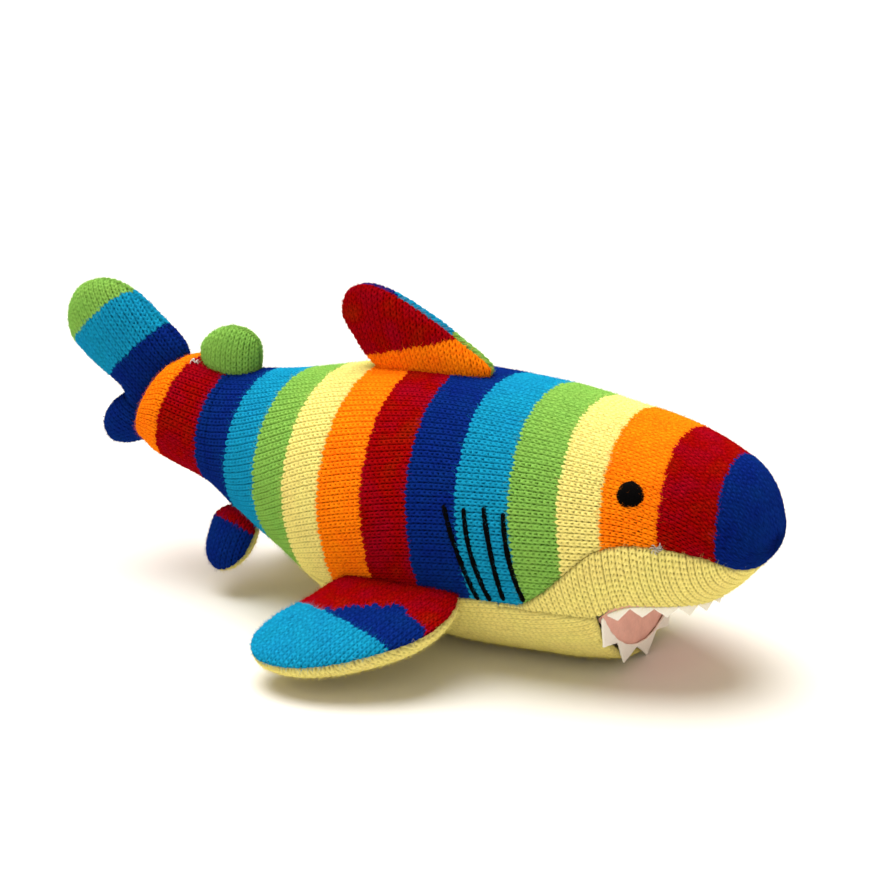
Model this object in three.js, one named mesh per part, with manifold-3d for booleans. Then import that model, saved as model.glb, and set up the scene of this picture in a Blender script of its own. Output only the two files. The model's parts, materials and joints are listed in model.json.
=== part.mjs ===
// Knitted plush shark, resting on its belly with its mouth open.
// Millimetres. +X towards the nose, +Y to the shark's left, +Z up.
import * as THREE from 'three';
import Module from 'manifold-3d';

const wasm = await Module();
wasm.setup();

// ---- driving dimensions ----
const skin = 2.4; // knitted fabric with its backing
const gap = 0.3; // clearance between neighbouring pieces
const felt = 1.2; // mouth lining
const toothFelt = 0.9; // felt the teeth are cut from
const across = 120; // half width of every cutting block, wider than the shark
const around = 22; // points round each body ring
const eyeSize = 9.8; // embroidered disc
const threadWidth = 2.0; // gill embroidery
const threadHeight = 1.1;

// Body rings: centre along, centre height, half width, height above centre, depth below, lean back in degrees.
const bodyStations = [
  [6.5, 75.5, 19, 22.5, 22.5, -26],
  [15, 73.5, 23.5, 25, 25, -17],
  [40, 68, 26, 27, 27, -8],
  [60, 63, 33, 33, 33, -5],
  [82, 59, 42.5, 40, 40, 0],
  [125, 54.5, 57.5, 52.5, 56, 5],
  [170, 53.5, 60.5, 57.5, 57, 9.5],
  [212, 55.5, 56.5, 54.5, 57.5, 11],
  [232, 56, 53, 51.5, 55.5, 10.5],
  [244, 56, 50.5, 49.5, 49.5, 10],
  [256, 56, 47.5, 48, 34, 10],
  [270, 57.5, 41.5, 43, 28, 9],
  [284, 59, 33.5, 36, 20, 8.5],
  [293.5, 61.5, 25.5, 28, 13, 8],
  [299.5, 63, 15, 17, 8, 8],
  [302.5, 63.5, 0, 0, 0, 8],
];
const ringPlaces = [
  6.5, 15, 27, 40, 54, 68, 82, 96, 110, 125, 140, 155, 170, 184, 198, 212, 224,
  234, 243, 250, 258, 267, 276, 284, 291, 296.5, 300.5, 302,
];
const noseStart = 270;
const tailEnd = 6.5;

// Seam between the striped back and the cream underside, seen from the side.
const seamLine = [
  [47, 33], [53, 35.5], [60, 33.5], [79, 29.5], [99, 23.4], [125, 22.5], [147, 27], [170, 31], [194, 33.5],
  [214, 34], [224, 40], [235, 51], [247, 62], [258, 65], [270, 64.3], [282, 61.5], [289, 57.5], [294, 52],
  [300, 46], [312, 40],
];
// Mouth, seen from the side: hinge of the lower jaw and the arch of the upper lip.
const jawHinge = [245.5, 32];
const lipArch = [[245.5, 32.8], [252, 36.6], [259, 38.2], [266, 37.6], [273, 36.4], [280, 34], [290, 30]];
const jawRear = [223, -4];
const jawFrontLow = [248, -4];

// ---- small helpers ----
const rad = (degrees) => (degrees * Math.PI) / 180;

function smooth(table, column, at) {
  let i = 0;
  while (i < table.length - 2 && at > table[i + 1][0]) i += 1;
  const slope = (k) => {
    if (k <= 0 || k >= table.length - 1) return null;
    const before = (table[k][column] - table[k - 1][column]) / (table[k][0] - table[k - 1][0]);
    const after = (table[k + 1][column] - table[k][column]) / (table[k + 1][0] - table[k][0]);
    return before * after <= 0 ? 0 : (2 * before * after) / (before + after);
  };
  const [x0, x1] = [table[i][0], table[i + 1][0]];
  const [y0, y1] = [table[i][column], table[i + 1][column]];
  const run = x1 - x0;
  const straight = (y1 - y0) / run;
  const m0 = slope(i) ?? straight;
  const m1 = slope(i + 1) ?? straight;
  const t = Math.min(1, Math.max(0, (at - x0) / run));
  const a = 2 * t ** 3 - 3 * t ** 2 + 1;
  const b = t ** 3 - 2 * t ** 2 + t;
  const c = -2 * t ** 3 + 3 * t ** 2;
  const d = t ** 3 - t ** 2;
  return a * y0 + b * run * m0 + c * y1 + d * run * m1;
}

function fade(from, to, at) {
  const t = Math.min(1, Math.max(0, (at - from) / (to - from)));
  return t * t * (3 - 2 * t);
}

// A point of the body's surface, drawn in by inset, at one station and one angle round from the left side.
function bodyPoint(at, angle, inset) {
  const [centre, width, up, down, lean] = [1, 2, 3, 4, 5].map((column) => smooth(bodyStations, column, at));
  const shift = inset * (1 - fade(tailEnd, 30, at)) - inset * fade(noseStart, 302.5, at);
  const c = Math.cos(angle);
  const s = Math.sin(angle);
  const reach = Math.max(0, (s > 0 ? up : down) - inset) * s;
  const side = Math.max(0, width - inset) * c;
  const x = at + shift - reach * Math.sin(rad(lean));
  const z = centre + reach * Math.cos(rad(lean));
  return [x, side, Math.max(z, inset)];
}

function solid(points, triangles) {
  const mesh = new wasm.Mesh({
    numProp: 3,
    vertProperties: new Float32Array(points.flat()),
    triVerts: new Uint32Array(triangles.flat()),
  });
  return new wasm.Manifold(mesh);
}

// Closed loft through rings of equal length, with a flat or pointed end.
function loft(rings) {
  const count = rings[0].length;
  const points = rings.flat();
  const triangles = [];
  for (let r = 0; r < rings.length - 1; r += 1) {
    for (let k = 0; k < count; k += 1) {
      const n = (k + 1) % count;
      const [a, b, c, d] = [r * count + k, r * count + n, (r + 1) * count + k, (r + 1) * count + n];
      triangles.push([a, c, b], [b, c, d]);
    }
  }
  for (const end of [0, rings.length - 1]) {
    const middle = [0, 1, 2].map((i) => rings[end].reduce((sum, p) => sum + p[i], 0) / count);
    const hub = points.push(middle) - 1;
    for (let k = 0; k < count; k += 1) {
      const [a, b] = [end * count + k, end * count + ((k + 1) % count)];
      triangles.push(end === 0 ? [hub, a, b] : [hub, b, a]);
    }
  }
  const made = solid(points, triangles);
  return made.volume() < 0 ? solid(points, triangles.map(([a, b, c]) => [a, c, b])) : made;
}

function bodySolid(inset) {
  const rings = [];
  for (const at of ringPlaces) {
    if (smooth(bodyStations, 2, at) - inset < 0.6 && at > noseStart) continue;
    const ring = [];
    for (let k = 0; k < around; k += 1) ring.push(bodyPoint(at, ((k + 0.5) / around) * 2 * Math.PI, inset));
    rings.push(ring);
  }
  return loft(rings);
}

// Block cut to a side-view outline and running right across the shark.
function sideBlock(outline, from = -across, to = across) {
  const shape = outline.map(([x, z]) => new THREE.Vector2(x, z));
  if (THREE.ShapeUtils.isClockWise(shape)) shape.reverse();
  const count = shape.length;
  const caps = THREE.ShapeUtils.triangulateShape(shape, []);
  const points = [...shape.map((p) => [p.x, from, p.y]), ...shape.map((p) => [p.x, to, p.y])];
  const triangles = [];
  for (const [a, b, c] of caps) triangles.push([a, b, c], [a + count, c + count, b + count]);
  for (let k = 0; k < count; k += 1) {
    const n = (k + 1) % count;
    triangles.push([k, k + count, n], [n, k + count, n + count]);
  }
  const made = solid(points, triangles);
  return made.volume() < 0 ? solid(points, triangles.map(([a, b, c]) => [a, c, b])) : made;
}

const raise = (line, by) => line.map(([x, z]) => [x, z + by]);

// ---- fins: a stuffed pocket with a round root that turns about its own axis ----
function frameOf(origin, out, along) {
  const u = new THREE.Vector3(...out).normalize();
  const v = new THREE.Vector3(...along);
  v.addScaledVector(u, -v.dot(u)).normalize();
  const w = new THREE.Vector3().crossVectors(u, v);
  return { origin: new THREE.Vector3(...origin), u, v, w };
}

function place(frame, u, v, w) {
  const p = frame.origin.clone();
  p.addScaledVector(frame.u, u).addScaledVector(frame.v, v).addScaledVector(frame.w, w);
  return p.toArray();
}

function roundOutline(corners, count) {
  const curve = new THREE.CatmullRomCurve3(corners.map(([u, v]) => new THREE.Vector3(u, v, 0)), true);
  return curve.getSpacedPoints(count).slice(0, count).map((p) => [p.x, p.y]);
}

function pillow(frame, outline, centre, half, inset) {
  const levels = [1, 0.86, 0.5];
  const drawn = outline.map(([u, v]) => {
    const [du, dv] = [u - centre[0], v - centre[1]];
    const scale = 1 - inset / Math.hypot(du, dv);
    return [du * scale, dv * scale];
  });
  const thick = half - inset;
  const ringAt = (level, side) => drawn.map(([du, dv]) => {
    const w = side * thick * Math.sqrt(1 - level * level);
    return place(frame, centre[0] + du * level, centre[1] + dv * level, w);
  });
  const rings = [
    ...levels.slice().reverse().map((level) => ringAt(level, 1)),
    ...levels.slice(1).map((level) => ringAt(level, -1)),
  ];
  const count = outline.length;
  const points = rings.flat();
  const triangles = [];
  for (let r = 0; r < rings.length - 1; r += 1) {
    for (let k = 0; k < count; k += 1) {
      const n = (k + 1) % count;
      const [a, b, c, d] = [r * count + k, r * count + n, (r + 1) * count + k, (r + 1) * count + n];
      triangles.push([a, c, b], [b, c, d]);
    }
  }
  for (const [end, side] of [[0, 1], [rings.length - 1, -1]]) {
    const hub = points.push(place(frame, centre[0], centre[1], side * thick)) - 1;
    for (let k = 0; k < count; k += 1) {
      const [a, b] = [end * count + k, end * count + ((k + 1) % count)];
      triangles.push(end === 0 ? [hub, a, b] : [hub, b, a]);
    }
  }
  const made = solid(points, triangles);
  return made.volume() < 0 ? solid(points, triangles.map(([a, b, c]) => [a, c, b])) : made;
}

// Half space on the outer side of a fin's root axis, or on one side of its middle plane.
function halfBlock(frame, low, high) {
  const points = [];
  for (const w of [low[2], high[2]]) {
    for (const v of [low[1], high[1]]) {
      for (const u of [low[0], high[0]]) points.push(place(frame, u, v, w));
    }
  }
  const faces = [[0, 2, 1], [1, 2, 3], [4, 5, 6], [5, 7, 6], [0, 1, 4], [1, 5, 4], [2, 6, 3], [3, 6, 7],
    [0, 4, 2], [2, 4, 6], [1, 3, 5], [3, 7, 5]];
  const made = solid(points, faces);
  return made.volume() < 0 ? solid(points, faces.map(([a, b, c]) => [a, c, b])) : made;
}

// Round root: a spindle lying along the fin's root axis. A socket is drawn round the turning circle, so the
// root's corners clear its flats as the fin turns.
const spindleSides = 10;
function spindle(frame, rootRadius, half, isSocket = false) {
  const stations = [-1, -0.95, -0.7, 0, 0.7, 0.95, 1];
  const count = spindleSides;
  const radius = isSocket ? rootRadius / Math.cos(Math.PI / count) : rootRadius;
  const rings = stations.slice(1, -1).map((t) => {
    const r = radius * Math.sqrt(1 - t * t);
    const ring = [];
    for (let k = 0; k < count; k += 1) {
      const angle = ((k + 0.5) / count) * 2 * Math.PI;
      ring.push(place(frame, r * Math.cos(angle), half * t, r * Math.sin(angle)));
    }
    return ring;
  });
  return loft(rings);
}

const socketOf = (fin) => spindle(fin.frame, fin.rootRadius + gap, fin.rootHalf + gap, true);

function finSolid(fin, inset) {
  let body = null;
  for (const lobe of fin.lobes) {
    const part = pillow(fin.frame, roundOutline(lobe.corners, lobe.points), lobe.centre, lobe.half, inset);
    body = body ? body.add(part) : part;
  }
  const outside = halfBlock(fin.frame, [inset * 0.6, -90, -60], [120, 90, 60]);
  return body.intersect(outside).add(spindle(fin.frame, fin.rootRadius - inset, fin.rootHalf - inset));
}

// The body as the turning fin meets it: turned about the root axis to each end of the fin's travel.
function sweptBody(fin) {
  const { origin, v } = fin.frame;
  let swept = aroundBody;
  for (const share of [-1, -0.5, 0.5, 1]) {
    const turn = new THREE.Matrix4().makeRotationAxis(v, rad(fin.travel * share));
    const move = new THREE.Matrix4().makeTranslation(origin.x, origin.y, origin.z).multiply(turn);
    move.multiply(new THREE.Matrix4().makeTranslation(-origin.x, -origin.y, -origin.z));
    swept = swept.add(aroundBody.transform(move.toArray()));
  }
  return swept;
}

function finPieces(fin) {
  const turning = spindle(fin.frame, fin.rootRadius + gap / 2, fin.rootHalf + gap / 2);
  const trunk = sweptBody(fin).subtract(turning);
  const shell = finSolid(fin, 0).subtract(finSolid(fin, skin)).subtract(trunk);
  const front = halfBlock(fin.frame, [-60, -90, gap / 2], [120, 90, 60]);
  const behind = halfBlock(fin.frame, [-60, -90, -60], [120, 90, -gap / 2]);
  const filling = finSolid(fin, skin + gap).subtract(trunk);
  return { near: shell.intersect(front), far: shell.intersect(behind), filling };
}

// ---- fin shapes: out from the root axis, then along it ----
const dorsalAxis = frameOf([147, 0, 112.5], [-0.04, 0, 1], [1, 0, 0.06]);
const dorsal = {
  frame: dorsalAxis,
  travel: 35,
  rootRadius: 5.2,
  rootHalf: 27.5,
  lobes: [{
    corners: [[-7, 22], [-1, 29], [10, 15], [20, -1], [29, -20], [31, -31], [27.5, -39], [18, -42], [8, -36.5],
      [-2, -28.5], [-8, -18], [-10, 3]],
    centre: [8, -8],
    half: 9,
    points: 14,
  }],
};
const secondDorsal = {
  travel: 25,
  frame: frameOf([42.5, 0, 98.2], [0.06, 0, 1], [1, 0, -0.07]),
  rootRadius: 7.4,
  rootHalf: 15,
  lobes: [{
    corners: [[-5, 10.5], [3, 15.5], [9, 13], [13, 6], [14, -2], [11.5, -11], [5, -15.8], [-4, -12], [-8, 0]],
    centre: [2, 0],
    half: 8.6,
    points: 11,
  }],
};
const tailFin = {
  travel: 30,
  frame: frameOf([2.5, 0, 78], [-0.9, 0, 0.44], [0.44, 0, 0.9]),
  rootRadius: 13,
  rootHalf: 24,
  lobes: [
    {
      corners: [[-8, 18], [-3, 26], [15, 31], [35, 34], [48, 31], [57.5, 22], [59.5, 10], [54, -1], [42, -5.5],
        [27, -7.5], [14, -9], [0, -16], [-8, -4]],
      centre: [25, 11],
      half: 12.5,
      points: 14,
    },
    {
      corners: [[-6, -20], [-1, -27], [7, -34], [14, -36.5], [20, -31.5], [20.5, -22], [16, -12], [6, -5], [-6, -8]],
      centre: [8, -18],
      half: 10,
      points: 11,
    },
  ],
};
function pectoral(side) {
  return {
    travel: 50,
    frame: frameOf([161, side * 57, 26.6], [-0.03, side * 0.958, -0.285], [1, side * -0.03, 0.11]),
    rootRadius: 5,
    rootHalf: 27,
    lobes: [{
      corners: [[-9, 22], [-2, 30.5], [11, 33.5], [26, 29], [41, 14.5], [51, -1], [55.5, -18], [52.5, -33], [42, -41.5],
        [28, -41], [13, -34], [-2, -28], [-9, -18], [-11, 0]],
      centre: [20, -4],
      half: 9.2,
      points: 14,
    }],
  };
}
function pelvic(side) {
  return {
    travel: 35,
    frame: frameOf([59, side * 22, 33.5], [0.02, side * 0.52, -0.85], [0.93, side * 0.12, 0.1]),
    rootRadius: 5.2,
    rootHalf: 11,
    lobes: [{
      corners: [[-5, 8], [0, 11.4], [8, 12.5], [17, 9.5], [23, 3], [24, -4], [19, -10.5], [9, -12.5], [-1, -11], [-6, 0]],
      centre: [8.5, 0],
      half: 6.6,
      points: 11,
    }],
  };
}

// ---- body, mouth and jaw ----
const outer = bodySolid(0);
const inner = bodySolid(skin);
const core = bodySolid(skin + gap);
const shell = outer.subtract(inner);
const aroundBody = bodySolid(-gap);

const underSeam = (by) => sideBlock([...raise(seamLine, by), [330, 40], [330, -40], [30, -40], [30, 20]]);
const upperFront = (by) => sideBlock([[206, jawHinge[1] + by], [jawHinge[0] + 4, jawHinge[1] + by],
  [jawHinge[0] + 14, 20], [340, 20], [340, 130], [206, 130]]);
const mouthCut = (by) => sideBlock([...raise(lipArch, by), [340, 5], [340, -40], [jawFrontLow[0] + 2, -40],
  jawFrontLow, [jawHinge[0] + 0.2, jawHinge[1] - 0.6]]);
const jawWedge = sideBlock([[jawHinge[0], jawHinge[1] - 0.4], jawFrontLow, jawRear]);
const aheadOfBelly = (by) => sideBlock([[jawHinge[0] - 0.4, jawHinge[1] + by], [340, jawHinge[1] + by],
  [340, -40], [jawRear[0] - 26, -40], [jawRear[0] - 0.4, jawRear[1]]]);

let grooves = socketOf(dorsal).add(socketOf(secondDorsal)).add(socketOf(tailFin));
const sides = [['right', -1], ['left', 1]];
const pectorals = sides.map(([name, side]) => ({ name, ...pectoral(side) }));
const pelvics = sides.map(([name, side]) => ({ name, ...pelvic(side) }));
for (const fin of [...pectorals, ...pelvics]) {
  grooves = grooves.add(socketOf(fin));
}

const grooved = shell.subtract(grooves);
const backPanel = grooved.subtract(underSeam(gap / 2));
const cream = grooved.intersect(underSeam(-gap / 2));
const muzzlePanel = cream.intersect(upperFront(gap / 2)).subtract(mouthCut(0));
const bellyPanel = cream.subtract(upperFront(-gap / 2)).subtract(aheadOfBelly(gap));
const jawSkin = cream.intersect(jawWedge);

const liningBand = (low, high) => mouthCut(high).subtract(mouthCut(low)).intersect(
  sideBlock([[jawHinge[0] + 0.6, 20], [340, 20], [340, 90], [jawHinge[0] + 0.6, 90]]),
);
const upperLining = core.intersect(liningBand(0, felt));
const wedgeBehind = (by) => sideBlock([[jawHinge[0] - by, jawHinge[1] - 0.4], [jawFrontLow[0] - by, jawFrontLow[1]], jawRear,
  [jawRear[0] - 30, 60]]);
const lowerLining = core.intersect(jawWedge.subtract(wedgeBehind(felt)));
const jawFilling = core.intersect(jawWedge).intersect(wedgeBehind(felt + gap));
const bodyFilling = core.subtract(grooves).subtract(mouthCut(felt + gap)).subtract(aheadOfBelly(gap));

// ---- teeth: a strip of felt points along each lip ----
const archHeight = (x) => {
  const table = [[200, lipArch[0][1]], ...lipArch];
  return smooth(table, 1, x);
};

// Where one body ring crosses the upper lip on the left side.
function upperLipPoint(at, inset) {
  for (let k = 0; k <= 180; k += 1) {
    const point = bodyPoint(at, -(k / 180) * (Math.PI / 2), inset);
    if (point[2] <= archHeight(point[0])) return point;
  }
  return null;
}

// Where the body's surface meets the front of the lower jaw, from the left corner round to the right one.
function lowerLipPoint(angle, inset, ahead) {
  let at = jawHinge[0];
  let point = bodyPoint(at, angle, inset);
  for (let k = 0; k < 6; k += 1) {
    const down = (jawHinge[1] - point[2]) / (jawHinge[1] - jawFrontLow[1]);
    at += jawHinge[0] + (jawFrontLow[0] - jawHinge[0]) * down + ahead - point[0];
    point = bodyPoint(at, angle, inset);
  }
  return point;
}

function evenly(points, count) {
  const lengths = [0];
  for (let k = 1; k < points.length; k += 1) {
    lengths.push(lengths[k - 1] + Math.hypot(...points[k].map((value, i) => value - points[k - 1][i])));
  }
  const out = [];
  for (let k = 0; k <= count; k += 1) {
    const wanted = (lengths.at(-1) * k) / count;
    let i = 1;
    while (i < points.length - 1 && lengths[i] < wanted) i += 1;
    const t = (wanted - lengths[i - 1]) / (lengths[i] - lengths[i - 1]);
    out.push(points[i - 1].map((value, j) => value + (points[i][j] - value) * t));
  }
  return out;
}

// Zigzag ribbon: root gives its hidden edge, outwards the way the teeth point, inwards the felt's thickness.
function toothStrip(path, outwards, inwards, start, valley, peak) {
  const rings = path.map((p, k) => {
    const o = outwards(k);
    const n = inwards(k);
    const reach = k % 2 === 1 ? peak : valley;
    const at = (out, deep) => p.map((value, i) => value + o[i] * out + n[i] * deep);
    return [at(start, 0), at(reach, 0), at(reach, toothFelt), at(start, toothFelt)];
  });
  return loft(rings);
}

const unit = (v) => v.map((value) => value / Math.hypot(...v));
const leftLip = [];
for (let at = 246; at < 290; at += 0.25) {
  const point = upperLipPoint(at, skin * 0.45);
  if (point && point[1] > 0.3) leftLip.push(point);
}
const upperTeethCount = 11;
const upperPath = evenly([...leftLip, ...leftLip.slice().reverse().map(([x, y, z]) => [x, -y, z])], 2 * upperTeethCount);
const upperInward = (k) => {
  const [a, b] = [upperPath[Math.max(0, k - 1)], upperPath[Math.min(upperPath.length - 1, k + 1)]];
  const n = unit([a[1] - b[1], b[0] - a[0], 0]);
  return n[0] * (upperPath[k][0] - jawHinge[0] + 6) + n[1] * upperPath[k][1] > 0 ? n.map((value) => -value) : n;
};
const upperTeeth = toothStrip(upperPath, (k) => unit([0.12, upperPath[k][1] * 0.004, -1]), upperInward, 0.4, 1.2, 4.8);

const lowerTeethCount = 5;
const lowerLip = [];
for (let k = 0; k <= 80; k += 1) lowerLip.push(lowerLipPoint(rad(-32 - (116 * k) / 80), skin, gap));
const lowerPath = evenly(lowerLip, 2 * lowerTeethCount);
const lowerOutward = (k) => {
  const [, y, z] = lowerPath[k];
  return unit([0.06, y, z - 52]);
};
const lowerTeeth = toothStrip(lowerPath, lowerOutward, () => [1, 0, 0.07], -1.5, -0.3, 6.2);

// ---- embroidery and thread ends, laid on the body's surface ----
function surfaceFrame(at, degrees) {
  const angle = rad(degrees);
  const p = new THREE.Vector3(...bodyPoint(at, angle, 0));
  const along = new THREE.Vector3(...bodyPoint(at + 2, angle, 0)).sub(p).normalize();
  const round = new THREE.Vector3(...bodyPoint(at, angle + 0.05, 0)).sub(p).normalize();
  const normal = new THREE.Vector3().crossVectors(along, round).normalize();
  const middle = new THREE.Vector3(p.x, 0, smooth(bodyStations, 1, at));
  if (normal.dot(p.clone().sub(middle)) < 0) normal.negate();
  return { p, along, normal };
}

function button(at, degrees, radius, height, lift, count = 16) {
  const { p, along, normal } = surfaceFrame(at, degrees);
  const across2 = new THREE.Vector3().crossVectors(normal, along).normalize();
  const levels = [[1, 0], [1, 0.45], [0.7, 0.85], [0.3, 1]];
  const rings = levels.map(([r, h]) => {
    const ring = [];
    for (let k = 0; k < count; k += 1) {
      const a = (k / count) * 2 * Math.PI;
      const q = p.clone().addScaledVector(normal, lift + h * height);
      q.addScaledVector(along, r * radius * Math.cos(a)).addScaledVector(across2, r * radius * Math.sin(a));
      ring.push(q.toArray());
    }
    return ring;
  });
  return loft(rings);
}

function stitch(from, to, steps = 6) {
  const rings = [];
  for (let k = 0; k <= steps; k += 1) {
    const t = k / steps;
    const { p, along, normal } = surfaceFrame(from[0] + (to[0] - from[0]) * t, from[1] + (to[1] - from[1]) * t);
    const corner = (side, height) => {
      const q = p.clone().addScaledVector(along, side * threadWidth / 2);
      return q.addScaledVector(normal, gap + 0.15 + height).toArray();
    };
    rings.push([corner(-1, 0), corner(1, 0), corner(1, threadHeight), corner(-1, threadHeight)]);
  }
  return loft(rings);
}

// ---- assembly ----
const shark = new THREE.Group();
shark.name = 'plush_shark';

// The one main body of a cut piece, without the specks a cut can leave.
function mainBody(piece) {
  const parts = piece.decompose().sort((a, b) => b.volume() - a.volume());
  return parts[0];
}

function addPiece(name, piece, colour, roughness = 0.95) {
  const mesh = mainBody(piece).getMesh();
  const geometry = new THREE.BufferGeometry();
  const positions = new Float32Array(mesh.numVert * 3);
  for (let k = 0; k < mesh.numVert; k += 1) {
    for (let i = 0; i < 3; i += 1) positions[k * 3 + i] = mesh.vertProperties[k * mesh.numProp + i];
  }
  geometry.setAttribute('position', new THREE.BufferAttribute(positions, 3));
  geometry.setIndex(new THREE.BufferAttribute(new Uint32Array(mesh.triVerts), 1));
  geometry.computeVertexNormals();
  const material = new THREE.MeshStandardMaterial({ color: colour, roughness, metalness: 0 });
  const made = new THREE.Mesh(geometry, material);
  made.name = name;
  shark.add(made);
}

const colours = {
  blue: 0x0d2f7d, red: 0x9a0a12, orange: 0xf4800f, green: 0x7cae4c, turquoise: 0x1590b8,
  cream: 0xe8d38a, pink: 0xe0a59a, white: 0xf2efe6, black: 0x0c0c0e, wadding: 0xf4f1ea, grey: 0xb9b4ac,
};

addPiece('back_panel', backPanel, colours.turquoise);
addPiece('belly_panel', bellyPanel, colours.cream);
addPiece('muzzle_panel', muzzlePanel, colours.cream);
addPiece('body_stuffing', bodyFilling, colours.wadding);
addPiece('upper_mouth_lining', upperLining, colours.pink);
addPiece('jaw_panel', jawSkin, colours.cream);
addPiece('jaw_stuffing', jawFilling, colours.wadding);
addPiece('lower_mouth_lining', lowerLining, colours.pink);
addPiece('upper_teeth', upperTeeth, colours.white);
addPiece('lower_teeth', lowerTeeth, colours.white);

function addFin(prefix, fin, nearName, farName, nearColour, farColour) {
  const pieces = finPieces(fin);
  addPiece(`${prefix}_${nearName}_panel`, pieces.near, nearColour);
  addPiece(`${prefix}_${farName}_panel`, pieces.far, farColour);
  addPiece(`${prefix}_stuffing`, pieces.filling, colours.wadding);
}
addFin('dorsal_fin', dorsal, 'left', 'right', colours.blue, colours.red);
addFin('second_dorsal_fin', secondDorsal, 'left', 'right', colours.green, colours.green);
addFin('tail_fin', tailFin, 'left', 'right', colours.blue, colours.blue);
for (const fin of pectorals) {
  const flip = fin.name === 'left';
  addFin(`${fin.name}_pectoral_fin`, fin, flip ? 'lower' : 'upper', flip ? 'upper' : 'lower',
    flip ? colours.cream : colours.blue, flip ? colours.blue : colours.cream);
}
for (const fin of pelvics) {
  const flip = fin.name === 'left';
  addFin(`${fin.name}_pelvic_fin`, fin, flip ? 'lower' : 'upper', flip ? 'upper' : 'lower',
    flip ? colours.cream : colours.blue, flip ? colours.blue : colours.cream);
}

for (const [name, side] of sides) {
  const degrees = (value) => (side > 0 ? value : 180 - value);
  addPiece(`${name}_eye`, button(258.8, degrees(34), eyeSize / 2, 1.3, 0.75), colours.black, 0.6);
  const gills = [[187, 18.5, 195, -20.5], [195.5, 18, 200, -20.5], [204, 19.5, 206, -19.5], [212, 18, 214.5, -19]];
  gills.forEach(([topAt, topAngle, lowAt, lowAngle], k) => {
    const piece = stitch([topAt, degrees(topAngle)], [lowAt, degrees(lowAngle)]);
    addPiece(`${name}_gill_stitch_${k + 1}`, piece, colours.black, 0.7);
  });
}

addPiece('cheek_thread_end', button(269.5, 180 - 10, 2.4, 1.8, 0.7, 10), colours.grey);
addPiece('fin_thread_end', button(21.5, 106, 2.2, 2.0, 0.7, 10), colours.white);

const box = new THREE.Box3().setFromObject(shark);
const centre = box.getCenter(new THREE.Vector3());
for (const mesh of shark.children) mesh.geometry.translate(-centre.x, -centre.y, -box.min.z);

export default shark;
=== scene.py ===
"""Knitted plush shark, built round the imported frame: every stitch of the knit is real geometry."""

import json
import math

import bpy
import numpy as np
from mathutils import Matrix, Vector

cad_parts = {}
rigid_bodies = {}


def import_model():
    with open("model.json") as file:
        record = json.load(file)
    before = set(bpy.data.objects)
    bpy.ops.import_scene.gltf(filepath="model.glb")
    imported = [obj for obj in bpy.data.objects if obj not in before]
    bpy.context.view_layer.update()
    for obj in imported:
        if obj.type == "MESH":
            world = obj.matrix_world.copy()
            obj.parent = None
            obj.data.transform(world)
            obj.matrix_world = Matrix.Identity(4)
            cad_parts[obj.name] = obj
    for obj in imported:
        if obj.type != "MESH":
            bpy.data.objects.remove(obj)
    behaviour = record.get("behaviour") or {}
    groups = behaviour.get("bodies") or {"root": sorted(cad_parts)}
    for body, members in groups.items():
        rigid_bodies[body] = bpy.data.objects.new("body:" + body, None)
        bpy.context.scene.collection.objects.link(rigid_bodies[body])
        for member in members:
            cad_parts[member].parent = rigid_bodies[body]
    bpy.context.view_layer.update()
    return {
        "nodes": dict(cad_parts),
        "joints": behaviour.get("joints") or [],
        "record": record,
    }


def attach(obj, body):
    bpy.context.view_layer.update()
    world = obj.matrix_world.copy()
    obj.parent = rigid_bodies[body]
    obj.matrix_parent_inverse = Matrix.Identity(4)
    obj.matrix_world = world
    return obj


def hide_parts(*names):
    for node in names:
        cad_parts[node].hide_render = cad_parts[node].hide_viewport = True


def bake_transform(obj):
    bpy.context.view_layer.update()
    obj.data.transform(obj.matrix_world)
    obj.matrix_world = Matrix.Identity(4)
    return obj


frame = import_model()

# ---- sizes, in millimetres along the shark ----
MM = 0.001
WALE = 2.72  # width of one column of stitches
COURSE = 2.46  # height of one row of stitches
ACROSS = 8  # mesh points across a stitch
ALONG = 6  # mesh points along a stitch
YARN = 0.56  # radius of the yarn where it bulges
SEAM_ROUND = 1.7  # how wide an edge rolls in at a seam
SEAM_DEPTH = 1.4  # and how deep
GROUND_GAP = 0.2  # how far above the ground the lowest yarn lies
HINGE_AT = 245.5  # where the jaw hinge lies along the shark
HINGE_HEIGHT = 32.0
TAIL_END = 6.5
NOSE_TIP = 302.5
BELLY_REAR = 45.0  # where the belly panel's rows start
MUZZLE_REAR = 206.0  # where the muzzle panel starts
UNSHIFTED_AT = 165.0  # where the back's columns keep their place: elsewhere they shift round the body
CAP = 9.0  # how far the closed tail end reaches round

JOINT = {joint["name"]: joint for joint in frame["joints"]}
hinge = np.array(JOINT["jaw_hinge"]["pos_m"]) / MM
SHIFT = np.array([hinge[0] - HINGE_AT, 0.0, 0.0])

# Body rings, the same as the CAD's: centre along, centre height, half width, height above centre, depth
# below, lean back in degrees. The rings from 40 to 256 are a fitting program's results, rounded, with a
# few values changed.
STATIONS = np.array([
    [6.5, 75.5, 19, 22.5, 22.5, -26],
    [15, 73.5, 23.5, 25, 25, -17],
    [40, 68, 26, 27, 27, -8],
    [60, 63, 33, 33, 33, -5],
    [82, 59, 42.5, 40, 40, 0],
    [125, 54.5, 57.5, 52.5, 56, 5],
    [170, 53.5, 60.5, 57.5, 57, 9.5],
    [212, 55.5, 56.5, 54.5, 57.5, 11],
    [232, 56, 53, 51.5, 55.5, 10.5],
    [244, 56, 50.5, 49.5, 49.5, 10],
    [256, 56, 47.5, 48, 34, 10],
    [270, 57.5, 41.5, 43, 28, 9],
    [284, 59, 33.5, 36, 20, 8.5],
    [293.5, 61.5, 25.5, 28, 13, 8],
    [299.5, 63, 15, 17, 8, 8],
    [302.5, 63.5, 0, 0, 0, 8],
])
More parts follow.
